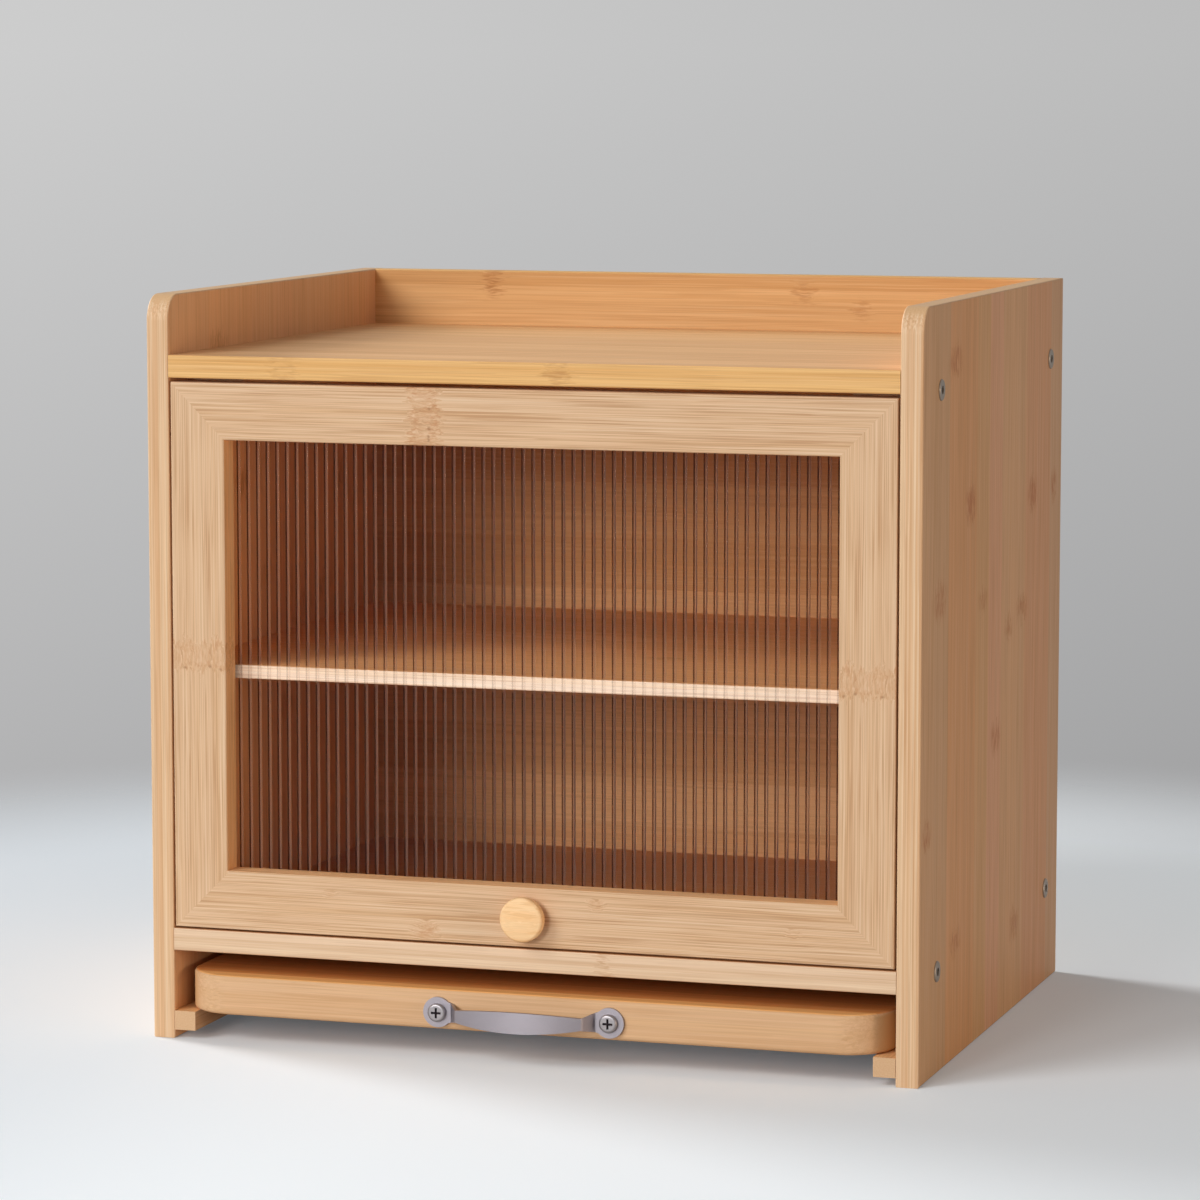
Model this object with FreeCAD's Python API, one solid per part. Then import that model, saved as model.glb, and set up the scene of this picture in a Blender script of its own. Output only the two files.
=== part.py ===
import FreeCAD, Part
import math
import os

# Bamboo bread box with a lift-up fluted door and a pull-out cutting board underneath.
# Millimetres. +X is the right-hand side, -Y is the front, +Z is up. The origin is on the
# counter, under the centre of the whole footprint, the handle's reach included.

os.makedirs("parts", exist_ok=True)
V = FreeCAD.Vector

# ---- Cabinet -------------------------------------------------------------------------
cabinet_width = 400.0
cabinet_depth = 309.0
cabinet_height = 377.5
side_thickness = 11.5
side_corner_radius = 13.0
edge_round = 0.8

top_board_thickness = 11.5
tray_depth = 30.0
bottom_board_thickness = 11.5
bay_height = 45.3
back_board_thickness = 11.5
back_board_inset = 1.5
back_board_floor_gap = 4.5

cleat_width = 30.0
cleat_thickness = 11.5
cleat_swing_clearance = 2.0

shelf_thickness = 7.0
shelf_height = 183.8
shelf_door_gap = 0.8
shelf_dado_depth = 4.0
shelf_end_clearance = 0.2

# ---- Door ----------------------------------------------------------------------------
door_thickness = 14.5
door_side_gap = 1.0
door_top_gap = 2.0
door_bottom_gap = 1.0
stile_width = 28.6
top_rail_width = 28.6
bottom_rail_width = 29.9

panel_thickness = 2.0
panel_overlap = 8.0
panel_clearance = 0.3
rib_pitch = 5.2
rib_width = 1.9
rib_height = 0.7
rib_field_margin = 0.6

hinge_pin_radius = 2.0
hinge_pin_drop = 15.0
hinge_pin_in_door = 10.0
hinge_pin_in_side = 6.0
hinge_running_clearance = 0.05
hinge_end_clearance = 0.4

knob_radius = 11.2
knob_neck_radius = 6.5
knob_foot_radius = 8.0
knob_length = 9.0
knob_head_thickness = 5.2
knob_edge_round = 1.8
knob_dome = 0.8

stop_block_width = 12.0
stop_block_depth = 12.0
stop_block_height = 22.0
stop_block_gap = 0.3
magnet_radius = 4.0
magnet_thickness = 3.0
strike_thickness = 1.2

# ---- Cutting board and its rails ------------------------------------------------------
rail_width = 11.2
rail_height = 9.8
rail_floor_gap = 4.4
board_running_gap = 0.3
board_side_gap = 4.5
board_thickness = 20.0
board_proud = 3.8
board_back_clearance = 0.3
board_corner_radius = 25.0
board_edge_round = 2.0

handle_screw_spacing = 89.5
handle_drop = 1.1
handle_pad_radius = 7.6
handle_thickness = 1.6
handle_step = 8.0
handle_step_run = 4.5
handle_bow = 7.0
handle_end_height = 6.0
handle_middle_height = 10.6
handle_bend_radius = 1.6

# ---- Fasteners -------------------------------------------------------------------------
side_screw_front_setback = 35.0
side_screw_back_setback = 30.0
side_screw_head_radius = 5.25
side_screw_head_thickness = 2.0
side_screw_head_proud = 0.8
side_screw_head_bevel = 0.4
side_screw_shank_radius = 2.5
side_screw_length = 40.0
side_screw_socket = 4.0
side_screw_socket_depth = 1.5

wood_screw_head_radius = 3.5
wood_screw_shank_radius = 1.75
rail_screw_length = 18.0
rail_screw_count = 3
cleat_screw_length = 19.0
cleat_screw_count = 3
back_screw_length = 28.0
back_screw_count = 3
screw_end_margin = 45.0

panel_screw_head_radius = 2.3
panel_screw_shank_radius = 1.1
panel_screw_length = 8.0
panel_screw_side_count = 3
panel_screw_across_count = 4

knob_screw_head_radius = 3.6
knob_screw_shank_radius = 2.0
knob_screw_in_knob = 6.0

handle_screw_head_radius = 4.7
handle_screw_head_height = 2.6
handle_screw_head_round = 1.3
handle_screw_shank_radius = 2.0
handle_screw_length = 18.0
cross_length_share = 1.1
cross_width_share = 0.24
cross_depth_share = 0.32
tip_cone = 3.0

# ---- Places worked out from the sizes --------------------------------------------------
handle_reach = board_proud + handle_step + handle_thickness + handle_bow
front_reach = max(handle_reach, knob_length + knob_dome)
front = (front_reach - cabinet_depth) / 2
back = front + cabinet_depth
side_outer = cabinet_width / 2
side_inner = side_outer - side_thickness

top_board_top = cabinet_height - tray_depth
top_board_under = top_board_top - top_board_thickness
bottom_board_under = bay_height
bottom_board_top = bottom_board_under + bottom_board_thickness
back_board_back = back - back_board_inset
back_board_front = back_board_back - back_board_thickness
shelf_top = shelf_height + shelf_thickness

door_half_width = side_inner - door_side_gap
door_bottom = bottom_board_top + door_bottom_gap
door_top = top_board_under - door_top_gap
door_back = front + door_thickness
window_half_width = door_half_width - stile_width
window_bottom = door_bottom + bottom_rail_width
window_top = door_top - top_rail_width
panel_front = door_back - panel_thickness
hinge_y = front + door_thickness / 2
hinge_z = door_top - hinge_pin_drop
door_corner_swing = math.hypot(door_thickness / 2, hinge_pin_drop)
cleat_front = hinge_y + door_corner_swing + cleat_swing_clearance

knob_z = door_bottom + bottom_rail_width / 2
shelf_front = door_back + shelf_door_gap
stop_block_front = door_back + stop_block_gap

rail_top = rail_floor_gap + rail_height
board_under = rail_top + board_running_gap
board_front = front - board_proud
board_back = back_board_front - board_back_clearance
board_half_width = side_inner - board_side_gap
handle_z = board_under + board_thickness / 2 - handle_drop
side_screw_heights = (bottom_board_under + bottom_board_thickness / 2, top_board_under)
side_screw_places = (front + side_screw_front_setback, back - side_screw_back_setback)


def block(x0, x1, y0, y1, z0, z1):
    low = V(min(x0, x1), min(y0, y1), min(z0, z1))
    return Part.makeBox(abs(x1 - x0), abs(y1 - y0), abs(z1 - z0), low)


def joined(shapes):
    return shapes[0].multiFuse(shapes[1:]).removeSplitter() if len(shapes) > 1 else shapes[0]


def face_of(points):
    return Part.Face(Part.makePolygon(points + points[:1]))


def spread(first, last, count):
    step = (last - first) / (count - 1)
    return [first + step * number for number in range(count)]


def edges_along(shape, axis):
    chosen = []
    for edge in shape.Edges:
        if isinstance(edge.Curve, Part.Line) and abs(edge.tangentAt(edge.FirstParameter).dot(axis)) > 0.999:
            chosen.append(edge)
    return chosen


def edges_at(shape, test):
    return [edge for edge in shape.Edges if test(edge.CenterOfMass)]


def near(value, target):
    return abs(value - target) < 1e-4


def save(name, shape):
    shape.exportStep("parts/" + name + ".step")
    print(name, len(shape.Solids), "solid(s)", round(shape.Volume / 1000, 2), "cm3")


def wood_screw_blank(tip_direction, head_face, length, head_radius, shank_radius):
    # Countersunk screw: a cone head whose flat face lies at head_face, then a pointed shank.
    head_depth = head_radius - shank_radius
    head = Part.makeCone(head_radius, shank_radius, head_depth, head_face, tip_direction)
    shank_start = head_face + tip_direction * head_depth
    straight = length - head_depth - tip_cone
    shank = Part.makeCylinder(shank_radius, straight, shank_start, tip_direction)
    tip_start = shank_start + tip_direction * straight
    tip = Part.makeCone(shank_radius, shank_radius / 4, tip_cone, tip_start, tip_direction)
    return joined([head, shank, tip])


def cross_recess(center, axis, across, head_radius):
    # Two crossed slots sunk along axis into a screw head whose outer face is at center.
    up = axis.cross(across)
    slots = []
    for long_way, short_way in ((across, up), (up, across)):
        corners = []
        for a, b in ((1, 1), (-1, 1), (-1, -1), (1, -1)):
            along = long_way * (a * cross_length_share * head_radius / 2)
            aside = short_way * (b * cross_width_share * head_radius / 2)
            corners.append(center + along + aside)
        slots.append(face_of(corners).extrude(axis * (cross_depth_share * head_radius)))
    return joined(slots)


def wood_screws(tip_direction, across, head_faces, length,
                head_radius=wood_screw_head_radius, shank_radius=wood_screw_shank_radius):
    # The holes' shapes, then the screws themselves with their driver recess.
    blanks = [wood_screw_blank(tip_direction, face, length, head_radius, shank_radius)
              for face in head_faces]
    screws = [blank.cut(cross_recess(face, tip_direction, across, head_radius))
              for blank, face in zip(blanks, head_faces)]
    return blanks, screws


# ---- Screws that hold the sides to the boards ---------------------------------------------
def side_screw_blank(side, head_top):
    inward = V(-side, 0, 0)
    full_head = side_screw_head_thickness - side_screw_head_bevel
    bevel = Part.makeCone(side_screw_head_radius - side_screw_head_bevel, side_screw_head_radius,
                          side_screw_head_bevel, head_top, inward)
    head = Part.makeCylinder(side_screw_head_radius, full_head,
                             head_top + inward * side_screw_head_bevel, inward)
    shank_start = head_top + inward * side_screw_head_thickness
    straight = side_screw_length - tip_cone
    shank = Part.makeCylinder(side_screw_shank_radius, straight, shank_start, inward)
    tip = Part.makeCone(side_screw_shank_radius, side_screw_shank_radius / 2, tip_cone,
                        shank_start + inward * straight, inward)
    return joined([bevel, head, shank, tip])


def hex_socket(side, head_top):
    corners = []
    for number in range(6):
        angle = math.radians(60 * number)
        reach = side_screw_socket / math.sqrt(3)
        corners.append(head_top + V(0, reach * math.cos(angle), reach * math.sin(angle)))
    return face_of(corners).extrude(V(-side * side_screw_socket_depth, 0, 0))


def side_screw_set(side):
    x = side * (side_outer + side_screw_head_proud)
    head_tops = [V(x, y, z) for y in side_screw_places for z in side_screw_heights]
    blanks = [side_screw_blank(side, head_top) for head_top in head_tops]
    screws = [blank.cut(hex_socket(side, head_top)) for blank, head_top in zip(blanks, head_tops)]
    return blanks, screws


def without(shape, tools):
    return shape.cut(tools[0].multiFuse(tools[1:]) if len(tools) > 1 else tools[0])


side_holes, side_screws = {}, {}
for side in (-1, 1):
    side_holes[side], side_screws[side] = side_screw_set(side)
all_side_holes = side_holes[-1] + side_holes[1]


def hinge_pin(side, radius, extra):
    # The pin, or with a wider radius and extra length the bore that it turns in.
    start = side * (door_half_width - hinge_pin_in_door)
    stop = side * (side_inner + hinge_pin_in_side + extra)
    return Part.makeCylinder(radius, abs(stop - start), V(start, hinge_y, hinge_z), V(side, 0, 0))


def side_panel(side):
    outer, inner = side * side_outer, side * side_inner
    panel = block(outer, inner, front, back, 0, cabinet_height)
    top_front = edges_at(panel, lambda c: near(c.y, front) and near(c.z, cabinet_height))
    panel = panel.makeFillet(side_corner_radius, top_front)
    rims = edges_at(panel, lambda c: near(c.x, outer) or near(c.x, inner))
    panel = panel.makeFillet(edge_round, rims)
    dado_floor = side * (side_inner + shelf_dado_depth)
    dado = block(inner, dado_floor, shelf_front, back_board_front, shelf_height, shelf_top)
    bore_radius = hinge_pin_radius + hinge_running_clearance
    cuts = side_holes[side] + [dado, hinge_pin(side, bore_radius, hinge_end_clearance)]
    return without(panel, cuts)


def flat_board(front_face, back_face, under, top):
    # A board between the two sides, with its two long front edges eased.
    board = block(-side_inner, side_inner, front_face, back_face, under, top)
    eased = edges_at(board, lambda c: near(c.y, front_face) and not near(abs(c.x), side_inner))
    return board.makeFillet(edge_round, eased)


def cleat(side):
    outer, inner = side * side_inner, side * (side_inner - cleat_width)
    under = top_board_under - cleat_thickness
    return block(outer, inner, cleat_front, back_board_front, under, top_board_under)


def cleat_screw_set():
    under = top_board_under - cleat_thickness
    depths = spread(cleat_front + screw_end_margin, back_board_front - screw_end_margin,
                    cleat_screw_count)
    faces = [V(side * (side_inner - cleat_width / 2), y, under) for side in (-1, 1) for y in depths]
    return wood_screws(V(0, 0, 1), V(1, 0, 0), faces, cleat_screw_length)


def back_screw_set():
    heights = (bottom_board_under + bottom_board_thickness / 2,
               top_board_under + top_board_thickness / 2)
    reach = side_inner - screw_end_margin
    faces = [V(x, back_board_back, z) for z in heights for x in spread(-reach, reach, back_screw_count)]
    return wood_screws(V(0, -1, 0), V(1, 0, 0), faces, back_screw_length)


def rail_screw_set(side):
    depths = spread(front + screw_end_margin, back_board_front - screw_end_margin, rail_screw_count)
    faces = [V(side * (side_inner - rail_width), y, rail_floor_gap + rail_height / 2) for y in depths]
    return wood_screws(V(side, 0, 0), V(0, 1, 0), faces, rail_screw_length)


def slide_rail(side):
    outer, inner = side * side_inner, side * (side_inner - rail_width)
    return block(outer, inner, front, back_board_front, rail_floor_gap, rail_top)


def stop_block(side):
    outer, inner = side * side_inner, side * (side_inner - stop_block_width)
    return block(outer, inner, stop_block_front, stop_block_front + stop_block_depth,
                 bottom_board_top, bottom_board_top + stop_block_height)


def catch_centre(side, y):
    return V(side * (side_inner - stop_block_width / 2), y, bottom_board_top + stop_block_height / 2)


def catch_magnet(side):
    return Part.makeCylinder(magnet_radius, magnet_thickness, catch_centre(side, stop_block_front),
                             V(0, 1, 0))


def strike_plate(side):
    return Part.makeCylinder(magnet_radius, strike_thickness, catch_centre(side, door_back),
                             V(0, -1, 0))


# ---- Door ---------------------------------------------------------------------------------
def door_member(corners, rounded):
    # A mitred bar: a box with its two long front edges eased, kept inside its mitre outline.
    xs = [x for x, z in corners]
    zs = [z for x, z in corners]
    bar = block(min(xs), max(xs), front, door_back, min(zs), max(zs))
    axis = V(1, 0, 0) if rounded == "across" else V(0, 0, 1)
    eased = [edge for edge in edges_along(bar, axis) if near(edge.CenterOfMass.y, front)]
    bar = bar.makeFillet(edge_round, eased)
    outline = face_of([V(x, front - 1, z) for x, z in corners])
    bar = bar.common(outline.extrude(V(0, door_thickness + 2, 0)))
    rebate_half = window_half_width + panel_overlap
    rebate = block(-rebate_half, rebate_half, panel_front, door_back + 1,
                   window_bottom - panel_overlap, window_top + panel_overlap)
    return bar.cut(rebate)


door_corners = {
    "left_bottom": ((-door_half_width, door_bottom), (-window_half_width, window_bottom)),
    "left_top": ((-door_half_width, door_top), (-window_half_width, window_top)),
    "right_bottom": ((door_half_width, door_bottom), (window_half_width, window_bottom)),
    "right_top": ((door_half_width, door_top), (window_half_width, window_top)),
}


def between(first, second):
    return [door_corners[first][0], door_corners[second][0],
            door_corners[second][1], door_corners[first][1]]


def fluted_panel():
    reach = panel_overlap - panel_clearance
    sheet = block(-window_half_width - reach, window_half_width + reach, panel_front, door_back,
                  window_bottom - reach, window_top + reach)
    field = window_half_width - rib_field_margin - rib_width / 2
    pairs = int(field / rib_pitch)
    half = rib_width / 2
    low = window_bottom + rib_field_margin
    tall = window_top - rib_field_margin - low
    ribs = []
    for number in range(-pairs, pairs + 1):
        x = number * rib_pitch
        arc = Part.Arc(V(x - half, panel_front, low), V(x, panel_front - rib_height, low),
                       V(x + half, panel_front, low)).toShape()
        foot = Part.makeLine(V(x + half, panel_front, low), V(x - half, panel_front, low))
        ribs.append(Part.Face(Part.Wire([arc, foot])).extrude(V(0, 0, tall)))
    return sheet.multiFuse(ribs)


def panel_screw_set():
    inset = panel_overlap / 2
    across = window_half_width + inset
    low, high = window_bottom - inset, window_top + inset
    reach = window_half_width - stile_width
    places = [(x, z) for z in (low, high) for x in spread(-reach, reach, panel_screw_across_count)]
    gap = (high - low) / (panel_screw_side_count + 1)
    for number in range(panel_screw_side_count):
        places += [(-across, low + gap * (number + 1)), (across, low + gap * (number + 1))]
    return wood_screws(V(0, -1, 0), V(1, 0, 0), [V(x, door_back, z) for x, z in places],
                       panel_screw_length, panel_screw_head_radius, panel_screw_shank_radius)


def knob():
    # Turned mushroom knob: foot, waist, rounded head and a slightly domed face.
    head_back = knob_length - knob_head_thickness
    waist = head_back / 2
    rim = knob_length - knob_edge_round
    bend = knob_edge_round * (1 - math.cos(math.radians(45)))

    def at(radius, out):
        return V(radius, front - out, 0)

    soft = knob_edge_round / 2
    soft_bend = soft * (1 - math.cos(math.radians(45)))
    face_radius = knob_radius - knob_edge_round
    dome_radius = (face_radius ** 2 + knob_dome ** 2) / (2 * knob_dome)
    dome_turn = math.asin(face_radius / dome_radius) / 2
    dome_middle = knob_length + knob_dome - dome_radius * (1 - math.cos(dome_turn))
    edges = [
        Part.makeLine(at(0, 0), at(knob_foot_radius, 0)),
        Part.Arc(at(knob_foot_radius, 0), at(knob_neck_radius, waist),
                 at(knob_foot_radius, head_back)).toShape(),
        Part.makeLine(at(knob_foot_radius, head_back), at(knob_radius - soft, head_back)),
        Part.Arc(at(knob_radius - soft, head_back), at(knob_radius - soft_bend, head_back + soft_bend),
                 at(knob_radius, head_back + soft)).toShape(),
        Part.makeLine(at(knob_radius, head_back + soft), at(knob_radius, rim)),
        Part.Arc(at(knob_radius, rim), at(knob_radius - bend, knob_length - bend),
                 at(face_radius, knob_length)).toShape(),
        Part.Arc(at(face_radius, knob_length), at(dome_radius * math.sin(dome_turn), dome_middle),
                 at(0, knob_length + knob_dome)).toShape(),
        Part.makeLine(at(0, knob_length + knob_dome), at(0, 0)),
    ]
    turned = Part.Face(Part.Wire(edges)).revolve(V(0, 0, 0), V(0, 1, 0), 360)
    return turned.translated(V(0, 0, knob_z))


def knob_screw_set():
    head_depth = knob_screw_head_radius - knob_screw_shank_radius
    start = V(0, door_back, knob_z)
    out = V(0, -1, 0)
    head = Part.makeCone(knob_screw_head_radius, knob_screw_shank_radius, head_depth, start, out)
    shank_length = door_thickness + knob_screw_in_knob - head_depth
    shank = Part.makeCylinder(knob_screw_shank_radius, shank_length, start + out * head_depth, out)
    blank = joined([head, shank])
    return blank, blank.cut(cross_recess(start, out, V(1, 0, 0), knob_screw_head_radius))


# ---- Cutting board and its handle -----------------------------------------------------------
def cutting_board():
    board = block(-board_half_width, board_half_width, board_front, board_back,
                  board_under, board_under + board_thickness)
    board = board.makeFillet(board_corner_radius, edges_along(board, V(0, 0, 1)))
    rims = edges_at(board, lambda c: near(c.z, board_under) or near(c.z, board_under + board_thickness))
    return board.makeFillet(board_edge_round, rims)


def bend(before, corner, after, radius):
    # The arc that rounds a corner of the strap's path, with the points where it starts and ends.
    back_way = (before - corner).normalize()
    on_way = (after - corner).normalize()
    half_turn = back_way.getAngle(on_way) / 2
    reach = radius / math.tan(half_turn)
    middle_way = (back_way + on_way).normalize()
    start = corner + back_way * reach
    stop = corner + on_way * reach
    middle = corner + middle_way * (radius / math.sin(half_turn) - radius)
    return start, middle, stop


def handle_outline():
    # Seen from the front: two round pads, two narrow necks and a leaf-shaped grip.
    pad_x = handle_screw_spacing / 2
    neck_x = pad_x - handle_pad_radius - handle_step_run
    end_half = handle_end_height / 2
    middle_half = handle_middle_height / 2
    y = board_front + 1
    parts = []
    for side in (-1, 1):
        pad = Part.makeCylinder(handle_pad_radius, handle_reach + 2, V(side * pad_x, y, handle_z),
                                V(0, -1, 0))
        pad_edge = pad_x - handle_pad_radius * math.cos(math.radians(45))
        pad_half = handle_pad_radius * math.sin(math.radians(45))
        neck = face_of([V(side * neck_x, y, handle_z - end_half), V(side * pad_edge, y, handle_z - pad_half),
                        V(side * pad_edge, y, handle_z + pad_half), V(side * neck_x, y, handle_z + end_half)])
        parts += [pad, neck.extrude(V(0, -handle_reach - 2, 0))]
    over = Part.Arc(V(-neck_x, y, handle_z + end_half), V(0, y, handle_z + middle_half),
                    V(neck_x, y, handle_z + end_half)).toShape()
    under = Part.Arc(V(neck_x, y, handle_z - end_half), V(0, y, handle_z - middle_half),
                     V(-neck_x, y, handle_z - end_half)).toShape()
    ends = [Part.makeLine(V(side * neck_x, y, handle_z - side * end_half),
                          V(side * neck_x, y, handle_z + side * end_half)) for side in (-1, 1)]
    leaf = Part.Face(Part.Wire(Part.__sortEdges__([over, ends[1], under, ends[0]])))
    return joined(parts + [leaf.extrude(V(0, -handle_reach - 2, 0))])


def handle_strap():
    # Seen from above: flat pads, a step out at each end and a bowed grip, swept at full height.
    pad_x = handle_screw_spacing / 2
    pad_end = pad_x + handle_pad_radius + 1
    step_in = pad_x - handle_pad_radius
    neck_x = step_in - handle_step_run
    pad_y = board_front - handle_thickness / 2
    step_y = pad_y - handle_step
    bow_y = step_y - handle_bow

    def flipped(point):
        return V(-point.x, point.y, point.z)

    left = [V(-pad_end, pad_y, 0), V(-step_in, pad_y, 0), V(-neck_x, step_y, 0)]
    bow = Part.Arc(left[2], V(0, bow_y, 0), flipped(left[2]))
    tangent = V(*bow.tangent(bow.FirstParameter)[0])
    if tangent.x < 0:
        tangent = tangent * -1
    first = bend(left[0], left[1], left[2], handle_bend_radius)
    second = bend(left[1], left[2], left[2] + tangent * handle_pad_radius, handle_bend_radius)
    left_edges = [Part.makeLine(left[0], first[0]), Part.Arc(*first).toShape(),
                  Part.makeLine(first[2], second[0]), Part.Arc(*second).toShape()]
    grip = Part.Arc(second[2], V(0, bow_y, 0), flipped(second[2])).toShape()
    right_edges = [edge.mirror(V(0, 0, 0), V(1, 0, 0)) for edge in left_edges]
    path = Part.Wire(Part.__sortEdges__(left_edges + [grip] + right_edges))
    tall = handle_pad_radius + 1
    half = handle_thickness / 2
    section = Part.makePolygon([V(-pad_end, pad_y - half, -tall), V(-pad_end, pad_y + half, -tall),
                                V(-pad_end, pad_y + half, tall), V(-pad_end, pad_y - half, tall),
                                V(-pad_end, pad_y - half, -tall)])
    strap = path.makePipeShell([section], True, False)
    return strap.translated(V(0, 0, handle_z))


def handle_screw(side):
    x = side * handle_screw_spacing / 2
    seat = V(x, board_front - handle_thickness, handle_z)
    head = Part.makeCylinder(handle_screw_head_radius, handle_screw_head_height, seat, V(0, -1, 0))
    face_y = seat.y - handle_screw_head_height
    head = head.makeFillet(handle_screw_head_round, edges_at(head, lambda c: near(c.y, face_y)))
    straight = handle_screw_length - tip_cone
    shank = Part.makeCylinder(handle_screw_shank_radius, straight, seat, V(0, 1, 0))
    tip = Part.makeCone(handle_screw_shank_radius, handle_screw_shank_radius / 4, tip_cone,
                        seat + V(0, straight, 0), V(0, 1, 0))
    recess = cross_recess(V(x, face_y, handle_z), V(0, 1, 0), V(1, 0, 0), handle_screw_head_radius)
    return joined([head, shank, tip]).cut(recess)


# ---- Fixed cabinet ----------------------------------------------------------------------------
cleat_holes, cleat_screws = cleat_screw_set()
back_holes, back_screws = back_screw_set()
magnets = [catch_magnet(side) for side in (-1, 1)]
names = {-1: "left", 1: "right"}

top_board = flat_board(front, back_board_front, top_board_under, top_board_top)
bottom_board = flat_board(front, back_board_front, bottom_board_under, bottom_board_top)
save("top_board", without(top_board, all_side_holes + cleat_holes + back_holes))
save("bottom_board", without(bottom_board, all_side_holes + back_holes))

back_board = block(-side_inner, side_inner, back_board_front, back_board_back,
                   back_board_floor_gap, cabinet_height)
back_rims = edges_at(back_board, lambda c: near(c.z, cabinet_height) and not near(abs(c.x), side_inner))
save("back_board", without(back_board.makeFillet(edge_round, back_rims), back_holes))

shelf_reach = side_inner + shelf_dado_depth - shelf_end_clearance
shelf = block(-shelf_reach, shelf_reach, shelf_front, back_board_front, shelf_height, shelf_top)
shelf_rims = edges_at(shelf, lambda c: near(c.y, shelf_front) and not near(abs(c.x), shelf_reach))
save("shelf", shelf.makeFillet(edge_round, shelf_rims))

for side in (-1, 1):
    rail_holes, rail_screws = rail_screw_set(side)
    save(names[side] + "_side_panel", without(side_panel(side), rail_holes))
    save(names[side] + "_top_cleat", without(cleat(side), all_side_holes + cleat_holes))
    save(names[side] + "_slide_rail", without(slide_rail(side), rail_holes))
    save(names[side] + "_stop_block", without(stop_block(side), magnets))
    save(names[side] + "_side_screws", Part.makeCompound(side_screws[side]))
    save(names[side] + "_rail_screws", Part.makeCompound(rail_screws))
save("cleat_screws", Part.makeCompound(cleat_screws))
save("back_board_screws", Part.makeCompound(back_screws))
save("catch_magnets", Part.makeCompound(magnets))

# ---- Door ---------------------------------------------------------------------------------------
pins = {side: hinge_pin(side, hinge_pin_radius, 0) for side in (-1, 1)}
strikes = [strike_plate(side) for side in (-1, 1)]
panel_holes, panel_screws = panel_screw_set()
knob_hole, knob_screw = knob_screw_set()
handle_screws = [handle_screw(side) for side in (-1, 1)]
door_cuts = panel_holes + strikes + [pins[-1], pins[1], knob_hole]

save("door_left_stile", without(door_member(between("left_bottom", "left_top"), "upright"), door_cuts))
save("door_right_stile", without(door_member(between("right_bottom", "right_top"), "upright"), door_cuts))
save("door_top_rail", without(door_member(between("left_top", "right_top"), "across"), door_cuts))
save("door_bottom_rail", without(door_member(between("left_bottom", "right_bottom"), "across"), door_cuts))
save("fluted_panel", without(fluted_panel(), panel_holes))
save("panel_screws", Part.makeCompound(panel_screws))
save("strike_plates", Part.makeCompound(strikes))
save("knob", knob().cut(knob_hole))
save("knob_screw", knob_screw)
for side in (-1, 1):
    save(names[side] + "_hinge_pin", pins[side])

# ---- Cutting board --------------------------------------------------------------------------------
save("cutting_board", without(cutting_board(), handle_screws))
save("board_handle", without(handle_strap().common(handle_outline()), handle_screws))
save("handle_screws", Part.makeCompound(handle_screws))
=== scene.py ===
import math

import bmesh
import bpy
from mathutils import Matrix, Vector

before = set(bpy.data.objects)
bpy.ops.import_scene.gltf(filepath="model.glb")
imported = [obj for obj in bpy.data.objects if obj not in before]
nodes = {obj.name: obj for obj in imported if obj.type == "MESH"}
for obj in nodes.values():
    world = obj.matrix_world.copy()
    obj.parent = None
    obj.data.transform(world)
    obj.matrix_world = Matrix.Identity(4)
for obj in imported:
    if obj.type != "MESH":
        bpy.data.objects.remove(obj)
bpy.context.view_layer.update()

print("frame loaded:", len(nodes), "nodes")


def linearColor(hexText):
    # sRGB hex to the linear values that shader sockets take
    channels = [int(hexText[i:i + 2], 16) / 255 for i in (1, 3, 5)]
    linear = [c / 12.92 if c <= 0.04045 else ((c + 0.055) / 1.055) ** 2.4 for c in channels]
    return (*linear, 1.0)


def addNode(tree, kind, settings={}, inputs={}):
    # inputs take a number, a colour, another node, or (node, output)
    node = tree.nodes.new(kind)
    for name, value in settings.items():
        if name == "stops":  # colour ramp, as (position, colour) pairs
            elements = node.color_ramp.elements
            while len(elements) < len(value):
                elements.new(0.5)
            for element, (position, color) in zip(elements, value):
                element.position = position
                element.color = color
        else:
            setattr(node, name, value)
    for socket, value in inputs.items():
        if isinstance(value, bpy.types.Node):
            tree.links.new(value.outputs[0], node.inputs[socket])
        elif isinstance(value, tuple) and isinstance(value[0], bpy.types.Node):
            tree.links.new(value[0].outputs[value[1]], node.inputs[socket])
        else:
            node.inputs[socket].default_value = value
    return node


def newMaterial(name):
    material = bpy.data.materials.new(name)
    material.use_nodes = True
    tree = material.node_tree
    tree.nodes.clear()
    output = tree.nodes.new("ShaderNodeOutputMaterial")
    return material, tree, output


def evenStops(hexColors):
    count = len(hexColors)
    return [((i + 0.5) / count, linearColor(color)) for i, color in enumerate(hexColors)]


mmPerMetre = 1000


def placeInMm(tree):
    # the piece's own place in mm, split into X, Y and Z, and its normal
    texture = addNode(tree, "ShaderNodeTexCoord")
    place = addNode(tree, "ShaderNodeMapping", {},
                    {"Vector": (texture, "Object"), "Scale": [mmPerMetre] * 3})
    return addNode(tree, "ShaderNodeSeparateXYZ", {}, {0: place}), (texture, "Normal")


def drawnOut(tree, grainPoint, length, width, detail):
    # noise drawn out along the grain, mostly between 0.3 and 0.7; grainPoint has X along the grain,
    # and length and width are in mm
    scaled = addNode(tree, "ShaderNodeVectorMath", {"operation": "MULTIPLY"},
                     {0: grainPoint, 1: (1 / length, 1 / width, 1 / width)})
    return addNode(tree, "ShaderNodeTexNoise", {},
                   {"Vector": scaled, "Scale": 1.0, "Detail": detail, "Roughness": 0.6})


ovalCore, ovalRim = 0.25, 1.1  # full strength within the one, none past the other


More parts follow.
